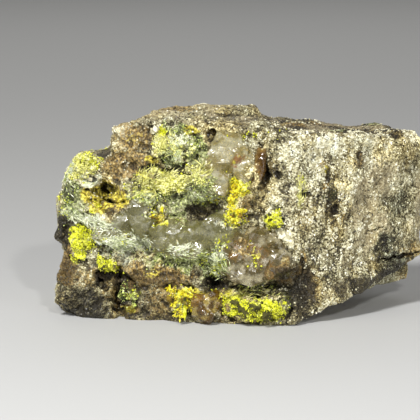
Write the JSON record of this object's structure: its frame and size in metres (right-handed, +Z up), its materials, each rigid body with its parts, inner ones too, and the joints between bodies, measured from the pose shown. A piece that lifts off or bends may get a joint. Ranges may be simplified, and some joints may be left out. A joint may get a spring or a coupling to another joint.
{
  "type": "pottsite mineral specimen",
  "caption": "Broken block of grey granular rock with a flat resting face. One side has clear quartz, amber glassy grains and crusts of yellow pottsite crystals.",
  "frame": {"origin": "on the flat resting face, under the middle of the block", "axes": "+Z up; +X along the block's length, towards the granular end; the mineralised side faces -Y, turned a little to -X"},
  "size_m": [0.0461, 0.0286, 0.0251],
  "materials": {
    "rock": "rough, granular, grey-brown",
    "quartz": "clear to milky, grey-green, glassy fracture",
    "amber": "amber-brown, translucent, glassy",
    "pottsite": "bright lemon yellow crystals, adamantine"
  },
  "bodies": {
    "root": {"rock_matrix": "rock", "quartz_band": "quartz", "quartz_tip": "quartz", "quartz_foot": "quartz", "amber_drop": "amber", "amber_blade": "amber", "pottsite_foot_crust": "pottsite", "pottsite_foot_tuft": "pottsite", "pottsite_foot_nest": "pottsite", "pottsite_left_patch": "pottsite", "pottsite_low_left_patch": "pottsite", "pottsite_shoulder_cap": "pottsite", "pottsite_upper_band": "pottsite", "pottsite_brow_crust": "pottsite", "pottsite_seam": "pottsite", "pottsite_fleck": "pottsite", "pottsite_hollow_fleck": "pottsite"}
  },
  "joints": []
}
